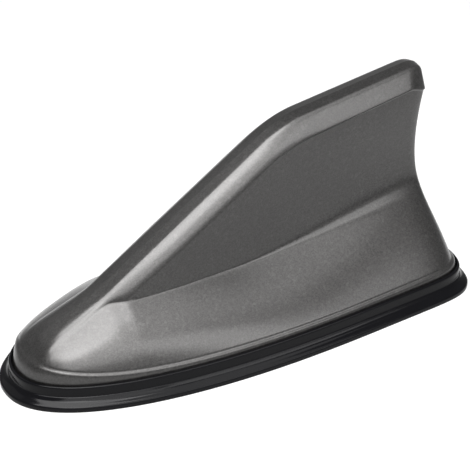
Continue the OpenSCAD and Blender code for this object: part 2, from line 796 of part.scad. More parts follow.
module coil_former() {
    color([0.85, 0.84, 0.78])
    difference() {
        union() {
            translate([coil_x, 0, coil_low - 1.6])
                cylinder(h = coil_high - coil_low + 3.2, d = former_core);
            for (z = [coil_low, coil_high - 0.8])
                translate([coil_x, 0, z])
                    cylinder(h = 0.8, d = coil_outer + 0.2);
        }
        for (z = [coil_low - 3, coil_high])
            translate([coil_x - 5, -frame / 2, z])
                cube([10, frame, 3]);
        // Slots in both flanges for the wire's ends
        for (z = [coil_low - 1, coil_high - 1.5])
            translate([coil_x - wire * 0.7, former_core / 2, z])
                cube([wire * 1.4, 2, 2.6]);
    }
}

// Path of the wire: a leg from the clip, the turns and a leg up to the top sheet
coil_radius = (coil_outer - wire) / 2;
turn_steps = 14;

function coil_path() = concat(
    [[coil_x, coil_radius + 0.05, board_top + 0.6], [coil_x, coil_radius + 0.05, coil_low - 1]],
    [for (i = [0 : coil_turns * turn_steps])
        let (a = 90 + 360 * i / turn_steps)
        [coil_x + coil_radius * cos(a), coil_radius * sin(a),
         mix(coil_low + 1.4, coil_high - 1.4, i / (coil_turns * turn_steps))]],
    [[coil_x, coil_radius + 0.05, coil_high + 1],
     for (z = [-3, 0]) [coil_x, frame / 2 + sheet + wire / 2, frame_top_z(coil_x) - cheek + 0.8 + z]]
);

function unit(v) = v / norm(v);

// Round tube along a path, with square ends
module tube(path, diameter, sides) {
    last = len(path) - 1;
    rings = [for (i = [0 : last])
        let (ahead = unit(path[min(last, i + 1)] - path[max(0, i - 1)]))
        let (out = unit([path[i][0] - coil_x, path[i][1], 0]))
        let (across = unit(cross(ahead, out)))
        let (up = cross(across, ahead))
        [for (k = [0 : sides - 1])
            path[i] + diameter / 2 * (up * cos(360 * k / sides) + across * sin(360 * k / sides))]];
    walls = [for (i = [0 : last - 1]) for (k = [0 : sides - 1])
        let (a = i * sides + k)
        let (b = i * sides + (k + 1) % sides)
        each [[b + sides, b, a], [a + sides, b + sides, a]]];
    polyhedron([for (r = rings) each r], concat(
        walls,
        [[for (k = [0 : sides - 1]) k]],
        [[for (k = [sides - 1 : -1 : 0]) last * sides + k]]
    ));
}

module loading_coil() {
    color([0.78, 0.45, 0.25])
    tube(coil_path(), wire, 6);
}

// Height of the frame's sloping top edge
function frame_top_z(x) =
    mix(frame_top[0][1], frame_top[1][1], (x - frame_top[0][0]) / (frame_top[1][0] - frame_top[0][0]));

sheet_ends = [frame_top[0][0] + 1, frame_top[1][0] - 1];
cheek = 12;

// Side view of a strip that follows the frame's top edge between two heights above it
function top_strip(ends, low, high) = [
    [ends[0], frame_top_z(ends[0]) + low], [ends[1], frame_top_z(ends[1]) + low],
    [ends[1], frame_top_z(ends[1]) + high], [ends[0], frame_top_z(ends[0]) + high]
];

module top_load_sheet() {
    color([0.8, 0.8, 0.78])
    difference() {
        side_plate(top_strip(sheet_ends, -cheek, sheet), frame + 2 * sheet);
        side_plate(top_strip([sheet_ends[0] - 1, sheet_ends[1] + 1], -cheek - 1, 0), frame);
    }
}

module feed_clip() {
    color([0.82, 0.78, 0.62])
    translate([coil_x, coil_radius + 0.05, board_top])
        difference() {
            translate([-1.5, -1.3, 0])
                cube([3, 2.6, 2.4]);
            translate([-wire / 2, -2, 0.5])
                cube([wire, 4, 3]);
        }
}

pad_ends = [frame_top[0][0] + 10, frame_top[1][0] - 10];

module anti_rattle_pad() {
    color([0.25, 0.25, 0.26])
    side_plate([
        for (x = pad_ends) [x, frame_top_z(x) + sheet],
        for (x = [pad_ends[1], pad_ends[0]]) [x, spine_z(x) - wall - 0.4]
    ], 2.6);
}

fin_cover();
base_gasket();
base_plate();
adhesive_pad();
cover_screws();
earth_plate();
amplifier_board();
board_screws();
shield_frame();
shield_lid();
amplifier_chip();
voltage_regulator();
chip_capacitors();
chip_inductors();
smoothing_capacitor();
capacitor_base();
socket_shell();
socket_insulator();
socket_pin();
power_header();
power_pins();
radiator_frame();
coil_former();
loading_coil();
top_load_sheet();
feed_clip();
anti_rattle_pad();
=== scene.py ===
import json
import math

import bpy
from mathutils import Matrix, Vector


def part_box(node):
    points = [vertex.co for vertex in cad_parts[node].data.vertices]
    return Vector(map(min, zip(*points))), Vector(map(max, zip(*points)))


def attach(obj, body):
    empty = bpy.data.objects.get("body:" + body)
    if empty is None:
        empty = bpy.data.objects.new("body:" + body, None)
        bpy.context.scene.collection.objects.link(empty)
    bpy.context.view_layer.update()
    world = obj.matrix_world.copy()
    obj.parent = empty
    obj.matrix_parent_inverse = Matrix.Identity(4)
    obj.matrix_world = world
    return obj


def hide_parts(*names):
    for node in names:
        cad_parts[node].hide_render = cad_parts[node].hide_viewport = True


bl_info = {
    "name": "Shark fin roof aerial",
    "version": (1, 0, 0),
    "blender": (4, 5, 0),
    "location": "3D View > Sidebar > Aerial",
    "description": "Dresses the packed solids with a smooth cover, a rubber skirt, finishes and a studio",
    "category": "Object",
}

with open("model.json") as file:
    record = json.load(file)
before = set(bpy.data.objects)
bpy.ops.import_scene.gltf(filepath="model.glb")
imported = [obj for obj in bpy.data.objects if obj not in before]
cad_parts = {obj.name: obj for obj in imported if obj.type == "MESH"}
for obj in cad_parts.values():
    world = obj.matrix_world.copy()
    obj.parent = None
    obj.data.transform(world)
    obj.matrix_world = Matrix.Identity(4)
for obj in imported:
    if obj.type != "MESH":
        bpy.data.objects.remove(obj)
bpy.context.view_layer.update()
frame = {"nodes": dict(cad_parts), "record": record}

MM = 0.001
QUARTER_TURN = math.pi / 2


# Sizes and colours that a user would change

class AerialShape(bpy.types.PropertyGroup):
    """Sizes of the cover and of the rubber skirt"""
    skirt_reach: bpy.props.FloatProperty(
        name="Skirt reach", description="How far the rubber stands out past the cover at the nose and sides",
        default=0.0043, unit="LENGTH", precision=4)
    wall: bpy.props.FloatProperty(
        name="Wall", description="Wall of the moulded cover", default=0.0022, unit="LENGTH", precision=4)
    edge_round: bpy.props.FloatProperty(
        name="Edge rounding", description="Rounding of the rail's top edge", default=0.0013, unit="LENGTH",
        precision=4)
    crease_round: bpy.props.FloatProperty(
        name="Crease rounding", default=0.005, unit="LENGTH", precision=4,
        description="Rounding, at the tail, of the crease where the fin meets the body")
    ribs: bpy.props.IntProperty(
        name="Ribs", description="Ribs in each quarter of the cover's surface", default=110, min=40, max=160)


class AerialFinish(bpy.types.PropertyGroup):
    """Colours and gloss of the paint and the rubber"""
    paint: bpy.props.FloatVectorProperty(
        name="Paint", description="Metallic grey of the cover", subtype="COLOR", size=3,
        default=(0.0448, 0.0435, 0.0427))
    flake: bpy.props.FloatProperty(
        name="Flake size", description="Width of one metal flake in the paint", default=0.00034,
        unit="LENGTH", precision=5)
    paint_roughness: bpy.props.FloatProperty(
        name="Paint roughness", description="Spread of the light that the flakes throw back", default=0.36,
        subtype="FACTOR", min=0, max=1)
    rubber: bpy.props.FloatVectorProperty(
        name="Rubber", description="Black of the skirt", subtype="COLOR", size=3,
        default=(0.0024, 0.0024, 0.003))


class AerialStudio(bpy.types.PropertyGroup):
    """Lamps and camera"""
    azimuth: bpy.props.FloatProperty(
        name="Azimuth", description="Camera's bearing, from the side towards the nose", subtype="ANGLE",
        default=math.radians(33.107))
    elevation: bpy.props.FloatProperty(
        name="Elevation", description="Camera's height above the roof plane", subtype="ANGLE",
        default=math.radians(32.922))
    distance: bpy.props.FloatProperty(
        name="Distance", description="Camera's distance from the fin", default=0.465, unit="LENGTH")
    key_power: bpy.props.FloatProperty(
        name="Key power", description="Power of the large lamp in front of the nose", default=7.0,
        unit="POWER")
    nose_power: bpy.props.FloatProperty(
        name="Nose power", description="Power of the near lamp over the nose", default=4.2, unit="POWER")
    side_power: bpy.props.FloatProperty(
        name="Side power", description="Power of the long lamp beside the tip", default=3.3, unit="POWER")
    low_power: bpy.props.FloatProperty(
        name="Low power", description="Power of the long lamp low in front", default=0.5, unit="POWER")
    body_power: bpy.props.FloatProperty(
        name="Body power", description="Power of the small lamp over the body", default=0.45, unit="POWER")
    back_power: bpy.props.FloatProperty(
        name="Back power", description="Power of the large lamp behind the nose", default=1.0, unit="POWER")


# Shader nodes

class Wire:
    """A socket of a node tree. Arithmetic on it adds Math nodes."""

    def __init__(self, tree, socket):
        self.tree = tree
        self.socket = socket

    def _math(self, operation, *values):
        return self.tree.node("ShaderNodeMath", {"operation": operation}, dict(enumerate(values)))

    def __add__(self, other):
        return self._math("ADD", self, other)

    def __radd__(self, other):
        return self._math("ADD", other, self)

    def __sub__(self, other):
        return self._math("SUBTRACT", self, other)

    def __mul__(self, other):
        return self._math("MULTIPLY", self, other)

    def clipped(self):
        """The value kept between 0 and 1"""
        return self._math("MINIMUM", self._math("MAXIMUM", self, 0.0), 1.0)


class Tree:
    """Node tree of a material or of the world"""

    def __init__(self, owner):
        owner.use_nodes = True
        self.nodes = owner.node_tree.nodes
        self.links = owner.node_tree.links
        self.nodes.clear()

    def node(self, kind, settings=None, sockets=None, out=0):
        """Adds a node: its settings first, then the values or links of its sockets."""
        node = self.nodes.new(kind)
        for name, value in (settings or {}).items():
            setattr(node, name, value)
        for key, value in (sockets or {}).items():
            if isinstance(value, Wire):
                self.links.new(value.socket, node.inputs[key])
            else:
                node.inputs[key].default_value = value
        return Wire(self, node.outputs[out]) if len(node.outputs) else node

    def place(self):
        """The point on the piece, in metres"""
        return self.node("ShaderNodeTexCoord", out="Object")

    def stretched(self, vector, scale):
        """A vector with its own scale along each axis"""
        return self.node("ShaderNodeVectorMath", {"operation": "MULTIPLY"}, {0: vector, 1: scale})

    def noise(self, vector, scale, detail=2.0, roughness=0.5):
        return self.node("ShaderNodeTexNoise", {}, {
            "Vector": vector, "Scale": scale, "Detail": detail, "Roughness": roughness})

    def cells(self, vector, scale, out="Color"):
        return self.node("ShaderNodeTexVoronoi", {}, {"Vector": vector, "Scale": scale}, out)

    def red(self, colour):
        """The red share of a colour, as a number"""
        return self.node("ShaderNodeSeparateColor", {}, {0: colour})

    def blend(self, factor, first, second):
        """A colour between two colours"""
        return self.node("ShaderNodeMix", {"data_type": "RGBA"}, {
            "Factor": factor, 6: self._colour(first), 7: self._colour(second)}, out=2)

    @staticmethod
    def _colour(value):
        return value if isinstance(value, Wire) else (*value, 1.0)

    def seen(self):
        """1 for what the camera sees, in reflections and through glass too, and 0 for the light on pieces"""
        camera, glossy, through = [
            self.node("ShaderNodeLightPath", out=f"Is {kind} Ray")
            for kind in ("Camera", "Glossy", "Transmission")]
        return (camera + glossy + through).clipped()

    def bump(self, height, strength, distance):
        """A normal for the surface, tilted by a height"""
        return self.node("ShaderNodeBump", {}, {"Height": height, "Strength": strength, "Distance": distance})

    def surface(self, **sockets):
        """Principled shader on the material's output. Names are the sockets' own, with _ for a space."""
        named = {name.replace("_", " "): value for name, value in sockets.items()}
        shader = self.node("ShaderNodeBsdfPrincipled", {}, named)
        self.node("ShaderNodeOutputMaterial", {}, {"Surface": shader})


def material(name):
    """A new material and its node tree"""
    made = bpy.data.materials.new(name)
    return made, Tree(made)


def shade(colour, factor):
    """A colour made darker or lighter"""
    return tuple(min(1.0, factor * c) for c in colour)


def metallic_paint(finish):
    """Grey paint with fine metal flakes under a clear coat with a faint orange peel, and painted glints on a
    few sparse flakes
    """
    made, tree = material("metallic_paint")
    place = tree.place()
    flake = tree.red(tree.cells(place, 1 / finish.flake))
    # A few sparse flakes are painted much brighter than the rest: painted glints in the paint's colour
    painted_glint = tree.red(tree.cells(place, 0.45 / finish.flake))
    cloud = tree.noise(place, 90.0, 3.0)
    dark = shade(finish.paint, 0.80)
    grain = tree.blend(flake, dark, shade(finish.paint, 1.26))
    grain = tree.blend((painted_glint - 0.86).clipped() * 3.0, grain, shade(finish.paint, 1.7))
    colour = tree.blend((cloud - 0.5) * 0.5 + 0.1, grain, dark)
    peel = tree.noise(place, 420.0, 2.0)
    tree.surface(
        Base_Color=colour, Metallic=0.86, Roughness=(flake * 0.1 + (finish.paint_roughness - 0.05)),
        Normal=tree.bump(flake + peel * 0.4, 0.2, 0.00004), Coat_Weight=0.45, Coat_Roughness=0.2,
        Coat_IOR=1.45)
    return made


def skirt_rubber(finish):
    """Satin black rubber with mould bloom and fine grain"""
    made, tree = material("skirt_rubber")
    place = tree.place()
    bloom = tree.noise(place, 140.0, 4.0, 0.6)
    grain = tree.noise(place, 2600.0, 2.0)
    colour = tree.blend(bloom, shade(finish.rubber, 0.8), shade(finish.rubber, 1.5))
    tree.surface(
        Base_Color=colour, Roughness=bloom * 0.10 + 0.08, Normal=tree.bump(grain, 0.12, 0.00003),
        Specular_IOR_Level=0.11)
    return made


def moulded_plastic(name, colour, roughness=0.5, grain_scale=2200.0, grain=0.25):
    """Moulded plastic with a spark-eroded grain"""
    made, tree = material(name)
    place = tree.place()
    flow = tree.noise(place, 60.0, 3.0)
    grain_height = tree.noise(place, grain_scale, 3.0, 0.6)
    tree.surface(
        Base_Color=tree.blend(flow, shade(colour, 0.85), shade(colour, 1.2)),
        Roughness=grain_height * 0.2 + (roughness - 0.1), Normal=tree.bump(grain_height, grain, 0.00005))
    return made


def foam(name, colour):
    """Closed-cell foam: open pores on the cut face, with painted shade inside each pore"""
    made, tree = material(name)
    place = tree.place()
    pore_and_painted_shade = tree.cells(place, 1500.0, "Distance")
    patch = tree.noise(place, 70.0, 3.0)
    # The pores are painted darker towards their middle, as painted shade in them; the bump gives them their
    # dip
    tree.surface(
        Base_Color=tree.blend(pore_and_painted_shade * 1.4, shade(colour, 0.5), tree.blend(patch, colour, shade(colour, 1.3))),
        Roughness=0.85 + patch * 0.1, Normal=tree.bump(pore_and_painted_shade, 0.4, 0.00012))
    return made


def plated_metal(name, colour, roughness=0.3, brushed=(1.0, 1.0, 1.0)):
    """Plated or tinned metal with rolling marks and dull spots"""
    made, tree = material(name)
    place = tree.place()
    marks = tree.noise(tree.stretched(place, brushed), 900.0, 3.0, 0.6)
    spots = tree.noise(place, 220.0, 4.0, 0.65)
    tree.surface(
        Base_Color=tree.blend(spots, shade(colour, 0.8), shade(colour, 1.1)),
        Metallic=1.0, Roughness=marks * 0.16 + spots * 0.1 + (roughness - 0.13),
        Normal=tree.bump(marks, 0.12, 0.00003))
    return made


def solder_mask():
    """Green lacquer over the weave of the board, with copper tracks showing under it"""
    made, tree = material("solder_mask")
    place = tree.place()
    weave = tree.node("ShaderNodeTexChecker", {}, {"Vector": place, "Scale": 1600.0}, out=1)
    tracks = tree.node("ShaderNodeTexBrick", {"offset": 0.5, "squash": 1.0}, {
        "Vector": place, "Scale": 330.0, "Mortar Size": 0.07, "Color1": (0, 0, 0, 1), "Color2": (0, 0, 0, 1),
        "Mortar": (1, 1, 1, 1)}, out=1)
    colour = tree.blend(tracks, (0.012, 0.13, 0.045), (0.03, 0.24, 0.08))
    tree.surface(
        Base_Color=colour, Roughness=0.22 + weave * 0.05, Coat_Weight=0.6, Coat_Roughness=0.08,
        Normal=tree.bump(tracks + weave * 0.15, 0.2, 0.00004))
    return made


def finishes():
    """The finishes of the carried-over solids, by the record's material slot"""
    return {
        "base_plastic": moulded_plastic("base_plastic", (0.03, 0.03, 0.033)),
        "pad_foam": foam("pad_foam", (0.075, 0.075, 0.08)),
        "zinc_steel": plated_metal("zinc_steel", (0.6, 0.6, 0.57), 0.32),
        "tinned_steel": plated_metal("tinned_steel", (0.66, 0.66, 0.65), 0.28, (1.0, 0.12, 1.0)),
        "board_laminate": solder_mask(),
        "chip_black": moulded_plastic("chip_black", (0.018, 0.018, 0.02), 0.45, 5200.0, 0.15),
        "ceramic_tan": moulded_plastic("ceramic_tan", (0.4, 0.28, 0.16), 0.4, 6200.0, 0.1),
        "ferrite_grey": moulded_plastic("ferrite_grey", (0.05, 0.05, 0.055), 0.55, 4200.0, 0.2),
        "can_aluminium": plated_metal("can_aluminium", (0.72, 0.73, 0.74), 0.25, (1.0, 1.0, 0.1)),
        "socket_brass": plated_metal("socket_brass", (0.83, 0.62, 0.26), 0.22),
        "white_insulator": moulded_plastic("white_insulator", (0.82, 0.82, 0.79), 0.35, 900.0, 0.05),
        "header_nylon": moulded_plastic("header_nylon", (0.7, 0.67, 0.58), 0.42, 1200.0, 0.08),
        "enamelled_copper": plated_metal("enamelled_copper", (0.62, 0.24, 0.09), 0.2),
        "soft_foam": foam("soft_foam", (0.035, 0.035, 0.038)),
    }


# The cover's surface, in millimetres: ribs run from the bottom edge up to the spine

# Exponents of the rounded outlines, along and across, and of the fin's squarer tail
NOSE_POWERS = (2.3, 2.2)
TAIL_POWERS = (8.7, 4.5)
FIN_TAIL_POWER = 12

# Places along the cover
WIDEST_FROM_NOSE = 110.0
SPINE_FROM_NOSE = 10.0
RAMP_FROM_NOSE = 30.5
BEND_FROM_NOSE = 95.5
TIP_FROM_TAIL = 4.5
# How far the rubber skirt stands out past the cover at the tail
SKIRT_REAR = 2.4
# Bottom edge of the cover, and top of the rubber lip
COVER_Z = 5.0
SKIRT_TOP = 6.9

# Four numbers are a value that changes along the cover: the value before a stretch, the value behind it, and
# the x where the stretch starts and ends

# Top of the cover's own skirt: at the sides, its rise at the nose and the length over which that fades, its
# dip in the middle of the nose, and its lift towards the tail
LIP_Z = 8.0
LIP_RISE = 4.9
LIP_FADE = 17
LIP_DIP = 1.6
LIP_LIFT = (0, 0.6, 20, 70)
# How far the groove above it lies in from the bottom edge, and half width of the dip in the nose
GROOVE_IN = 0.85
DIP_HALF = 8

# Spine: heights of its start and of the ramp's foot, slopes of the nose, the ramp and the fin's top, and how
# softly they meet
SPINE_START_Z = 14.2
RAMP_FOOT_Z = 24.2
NOSE_SLOPE = math.tan(math.radians(22.3))
RAMP_SLOPE = math.tan(math.radians(31.25))
TOP_SLOPE = math.tan(math.radians(6.6))
RAMP_BLEND = 0.6
START_BLEND = 3
TOP_BLEND = 4
# Widths of the spine's face at the nose, at the foot of the ramp and at the tip
SPINE_WIDTHS = (11.2, 8.8, 7.4)
# Length and fall of the tip's rounding, how far the fin's top lies ahead of the rail's foot there, and the
# length over which it comes to that
TIP_ROUND = 8.5
TIP_FALL = 3.0
TIP_BACK = 1.5
TIP_BACK_REACH = 9

# Rail under the spine: its depth, the depth added at the tip (with x from the spine's rear end), how far its
# foot stands out, where it has its full width on the ramp, and how far the flank lies in under it
RAIL_DEPTH = 5.8
RAIL_TIP_DEPTH = (0, 2.5, -8, 0)
RAIL_OUT = (3.9, 3.8, 5, 25)
RAIL_FULL_X = -20
RAIL_STEP = (0, 0.7, 0, 45)
# Height of the crease where the fin meets the body, its rise towards the tail, and the tail edge's hollow
CREASE_Z = (23.3, 22.3, -50, 10)
CREASE_RISE = (0, 5.5, -5, 72)
TAIL_HOLLOW = (0, 4.0, 30, 74)
# Ahead of the widest place, the share of the body's half width that no half width passes, and how softly: for
# the spine's edge, the rail's foot and the crease
NOSE_LIMITS = ((0.8, 1.2), (0.87, 1.2), (0.93, 2.5))

# Section of the body: degrees off its chord at the foot and at the crease, and length of the curve's handles
BODY_FOOT_ANGLE = (26, 7, -75, 30)
BODY_CREASE_ANGLE = (16, 4, -75, 30)
BODY_HANDLE = (0.3, 0.38, -66, -52)
# Degrees of the flank above the crease, and fullness of the rail's section
FLANK_ANGLE = (76, 52, 0, 72)
RAIL_FULLNESS = (0.6, 0.1, 5, 30)

# Rounding of the corners round the groove, by the number of the point, and of the rail's foot
GROOVE_ROUNDS = ((2, 0.3), (3, 0.3), (4, 0.22), (5, 0.3))
RAIL_FOOT_ROUND = (0.5, 0.35, 0, 40)
# The crease and the rail's top edge: rounding at the nose, and the stretch that leads to the user's rounding
CREASE_ROUND = (0.7, -10, 60)
EDGE_ROUND = (3.2, -60, -38)
# Rounding away from the corners, and samples on each side of a point
LEAST_ROUND = 0.12
ROUND_SAMPLES = 4

# Steps of a rib along the body, the flank, the rail and the top
OUTER_STEPS = (26, 22, 12, 7)
INNER_STEPS = (5, 4, 2, 1)
# Exponents that crowd the ribs: towards the widest place and the tail, and behind the widest place
RIB_CROWDING = 1.35
TAIL_CROWDING = 4.35


def clamp01(x):
    return min(1.0, max(0.0, x))


def ease(a, b, x):
    """0 before a and 1 behind b, with a soft start and end"""
    t = clamp01((x - a) / (b - a))
    return t * t * (3 - 2 * t)


def mix(a, b, t):
    return a + (b - a) * t


def along_cover(values, x):
    """A value that changes along the cover"""
    before, behind, start, end = values
    return mix(before, behind, ease(start, end, x))


def mix_points(a, b, t):
    return tuple(mix(p, q, t) for p, q in zip(a, b))


def soft_min(a, b, k):
    """The lower of two values, rounded where they are less than k apart"""
    h = clamp01(0.5 + 0.5 * (b - a) / k)
    return mix(b, a, h) - k * h * (1 - h)


def soft_max(a, b, k):
    return -soft_min(-a, -b, k)


def bezier(p, t):
    """A point of the cubic curve with four control points"""
    weights = ((1 - t) ** 3, 3 * t * (1 - t) ** 2, 3 * t * t * (1 - t), t ** 3)
    return tuple(sum(w * q[i] for w, q in zip(weights, p)) for i in (0, 1))


def spread(count):
    """Steps from 0 to 1, closer together at both ends"""
    return [(1 - math.cos(math.pi * i / count)) / 2 for i in range(count + 1)]


class Body:
    """Lines of the cover, worked out from the box of the rubber skirt"""

    def __init__(self, shape):
        low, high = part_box("base_gasket")
        self.nose_x, self.tail_x = low[0] / MM, high[0] / MM
        self.skirt_half = high[1] / MM
        reach = shape.skirt_reach / MM
        self.mid_x = self.nose_x + WIDEST_FROM_NOSE
        self.front = self.nose_x + reach
        self.rear = self.tail_x - SKIRT_REAR
        self.half = self.skirt_half - reach
        self.spine_front = self.nose_x + SPINE_FROM_NOSE
        self.spine_rear = self.tail_x - TIP_FROM_TAIL
        self.ramp_x = self.nose_x + RAMP_FROM_NOSE
        self.bend_x = self.nose_x + BEND_FROM_NOSE
        self.bend_z = RAMP_FOOT_Z + RAMP_SLOPE * (self.bend_x - self.ramp_x)
        self.edge_round = (EDGE_ROUND[0], shape.edge_round / MM, *EDGE_ROUND[1:])
        self.crease_round = (CREASE_ROUND[0], shape.crease_round / MM, *CREASE_ROUND[1:])
        self.top_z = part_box("fin_cover")[1][2] / MM

    def outline(self, u, front, rear, half):
        """A point of a rounded outline: u is 0 at the nose, 1 at the widest place and 2 at the tail."""
        if u <= 1:
            turn = QUARTER_TURN * u
            return (self.mid_x - (self.mid_x - front) * max(0.0, math.cos(turn)) ** (2 / NOSE_POWERS[0]),
                    half * max(0.0, math.sin(turn)) ** (2 / NOSE_POWERS[1]))
        turn = QUARTER_TURN * (u - 1)
        return (self.mid_x + (rear - self.mid_x) * max(0.0, math.sin(turn)) ** (2 / TAIL_POWERS[0]),
                half * max(0.0, math.cos(turn)) ** (2 / TAIL_POWERS[1]))

    def cover_line(self, u, inset):
        """A point of the cover's bottom edge, set in by a distance"""
        return self.outline(u, self.front + inset, self.rear - inset, self.half - inset)

    def skirt_line(self, u, share):
        """A point out from the cover by a share of the skirt"""
        rim = self.outline(u, self.nose_x, self.tail_x, self.skirt_half)
        return mix_points(self.cover_line(u, 0), rim, share)

    def spine_z(self, x):
        """Height of the spine: a short nose, the ramp and the fin's top"""
        nose = RAMP_FOOT_Z + NOSE_SLOPE * (x - self.ramp_x)
        start = SPINE_START_Z + (x - self.spine_front)
        ramp = RAMP_FOOT_Z + RAMP_SLOPE * (x - self.ramp_x)
        top = self.bend_z + TOP_SLOPE * (x - self.bend_x)
        return soft_min(soft_min(soft_max(nose, ramp, RAMP_BLEND), start, START_BLEND), top, TOP_BLEND)

    def spine_half(self, x):
        """Half width of the spine's face"""
        if x < self.ramp_x:
            share = clamp01((x - self.spine_front) / (self.ramp_x - self.spine_front))
            return mix(SPINE_WIDTHS[0], SPINE_WIDTHS[1], share) / 2
        share = clamp01((x - self.ramp_x) / (self.spine_rear - self.ramp_x))
        return mix(SPINE_WIDTHS[1], SPINE_WIDTHS[2], share) / 2

    def low_edge(self, u, depth):
        """Points of the cover's own skirt, and the foot of the body above the fine groove over it"""
        foot = self.cover_line(u, depth)
        dip = math.exp(-(foot[1] / DIP_HALF) ** 2) if u < 1 else 0.0
        groove = 1 - 0.9 * dip
        lip_z = (LIP_Z + LIP_RISE * math.exp((self.front - foot[0]) / LIP_FADE) - LIP_DIP * dip
                 + along_cover(LIP_LIFT, foot[0]) - depth / 3)
        if depth > 0:
            levels = [(depth + 0.5, mix(COVER_Z, lip_z, 0.7))]
        else:
            levels = [
                (0.3 + 0.8 * dip, mix(COVER_Z, lip_z, 0.6)),
                (0.5 + 1.7 * dip, lip_z - 0.5 * groove - 0.6 * dip),
                (GROOVE_IN + 2.2 * dip, lip_z - 0.1 * groove),
                (GROOVE_IN + 0.5 * groove + 2.8 * dip, lip_z + 0.05 * groove + 0.4 * dip)]
        skirt = [(*foot, COVER_Z)] + [(*self.cover_line(u, inset), z) for inset, z in levels]
        body_foot = self.cover_line(u, depth + GROOVE_IN + 0.6 * groove + 3.4 * dip)
        return skirt, body_foot, lip_z + 0.55 * groove + 0.8 * dip

    def rail_levels(self, x, top_z, body_z, depth):
        """Heights of the crease and of the rail's foot, and how far they stand out past the spine's edge"""
        room = top_z - body_z
        crease = along_cover(CREASE_Z, x) + along_cover(CREASE_RISE, x) - 0.8 * depth
        low_z = soft_min(crease, top_z - min(1.5, 0.5 * room), min(1.6, 0.5 * room))
        rail_depth = RAIL_DEPTH + along_cover(RAIL_TIP_DEPTH, x - self.spine_rear)
        rail_z = soft_max(low_z + min(0.3, 0.1 * room), top_z - rail_depth, 0.5)
        on_ramp = ease(self.ramp_x, RAIL_FULL_X, x)
        rail_share = clamp01((top_z - rail_z) / rail_depth) * (0.8 + 0.2 * on_ramp)
        rail_out = along_cover(RAIL_OUT, x) * rail_share
        return low_z, rail_z, rail_out + 0.3 + 0.5 * on_ramp, rail_out

    def rib(self, u, depth, steps):
        """One rib at a depth under the surface, and its corners: the numbers of points and their rounding.

        steps are those of the body, the flank, the rail and the top."""
        body_steps, flank_steps, rail_steps, top_steps = steps
        skirt, body_foot, body_z = self.low_edge(u, depth)
        x = self.outline(u, self.spine_front + depth, self.spine_rear - depth, 1)[0]
        half = self.spine_half(x) - depth
        top_z = self.spine_z(x) - depth
        low_z, rail_z, low_out, rail_out = self.rail_levels(x, top_z, body_z, depth)
        halves = (half, half + rail_out, half + low_out)
        if u < 1:
            fade = 1.0
            edge_y, rail_y, low_y = [
                soft_min(y, share * body_foot[1], blend) for y, (share, blend) in zip(halves, NOSE_LIMITS)]
        else:
            fade = max(0.0, math.cos(QUARTER_TURN * (u - 1))) ** (2 / FIN_TAIL_POWER)
            edge_y, rail_y, low_y = [y * fade for y in halves]
        width = edge_y / half
        chord = math.atan2(low_z - body_z, body_foot[1] - low_y) if u < 2 else 0.0
        tip = clamp01((x - self.spine_rear + depth) / TIP_ROUND + 1)
        edge_z = top_z - TIP_FALL * (1 - math.sqrt(max(0.0, 1 - tip * tip)))
        edge_drop = min(0.5, 0.15 * (top_z - body_z))
        body = body_curve((body_foot[1], body_z), (low_y, low_z), chord, x, fade, width)
        flank = flank_curve((low_y, low_z), (rail_y, rail_z), x, width)
        rail = rail_curve((rail_y, rail_z + 0.4 * edge_drop), (edge_y, edge_z - edge_drop), x)
        shoulder = (edge_y * (1 - 0.35 / half), edge_z - 0.25 * edge_drop)
        crown = (0.0, edge_z + 0.5 * width)

        section = [bezier(body, t) for t in spread(body_steps)]
        crease_at = len(skirt) + len(section) - 1
        section += [bezier(flank, t) for t in spread(flank_steps)[1:]]
        foot_at = len(skirt) + len(section)
        section += [bezier(rail, t) for t in spread(rail_steps)]
        edge_at = len(skirt) + len(section) - 1
        section += [mix_points(shoulder, crown, t) for t in spread(top_steps)]

        hollow = along_cover(TAIL_HOLLOW, skirt[0][0])
        back = TIP_BACK * ease(self.spine_rear - TIP_BACK_REACH, self.spine_rear, x)
        points = list(skirt)
        for y, z in section:
            rise = clamp01((z - body_z) / (top_z - body_z))
            height = clamp01((z - COVER_Z) / (top_z - COVER_Z)) ** 1.5
            place = mix(body_foot[0], x, rise) - hollow * 4 * height * (1 - height)
            points.append((place - back * clamp01((z - rail_z) / (top_z - rail_z)), y, z))
        corners = (
            *GROOVE_ROUNDS,
            (crease_at, along_cover(self.crease_round, x)),
            (foot_at, along_cover(RAIL_FOOT_ROUND, x)),
            (edge_at, along_cover(self.edge_round, x)))
        return points, corners

    def smooth_rib(self, u):
        """A rib of the painted surface, with its corners rounded"""
        points, corners = self.rib(u, 0, OUTER_STEPS)
        points = rounded(points, corners)
        return [(x, y, min(z, self.top_z)) for x, y, z in points]


def body_curve(foot, crease, chord, x, fade, width):
    """Sideways section of the body, full at the nose and flatter towards the tail"""
    foot_angle = chord + math.radians(along_cover(BODY_FOOT_ANGLE, x))
    crease_angle = chord - math.radians(along_cover(BODY_CREASE_ANGLE, x))
    handle = along_cover(BODY_HANDLE, x) * math.hypot(foot[0] - crease[0], crease[1] - foot[1])
    return (
        foot,
        (foot[0] - handle * math.cos(foot_angle) * fade, foot[1] + handle * math.sin(foot_angle)),
        (crease[0] + handle * math.cos(crease_angle) * width, crease[1] - handle * math.sin(crease_angle)),
        crease)


def flank_curve(crease, rail, x, width):
    """Sideways section of the fin's hollow flank, from the crease to its place in under the rail's foot"""
    angle = math.radians(along_cover(FLANK_ANGLE, x))
    step_in = along_cover(RAIL_STEP, x) * width
    span = math.hypot(crease[0] - rail[0], rail[1] - crease[1])
    return (
        crease,
        (crease[0] - 0.22 * span * math.cos(angle) * width, crease[1] + 0.22 * span * math.sin(angle)),
        (rail[0] - step_in, rail[1] - 0.36 * span),
        (rail[0] - step_in, rail[1] - 0.5 * step_in))


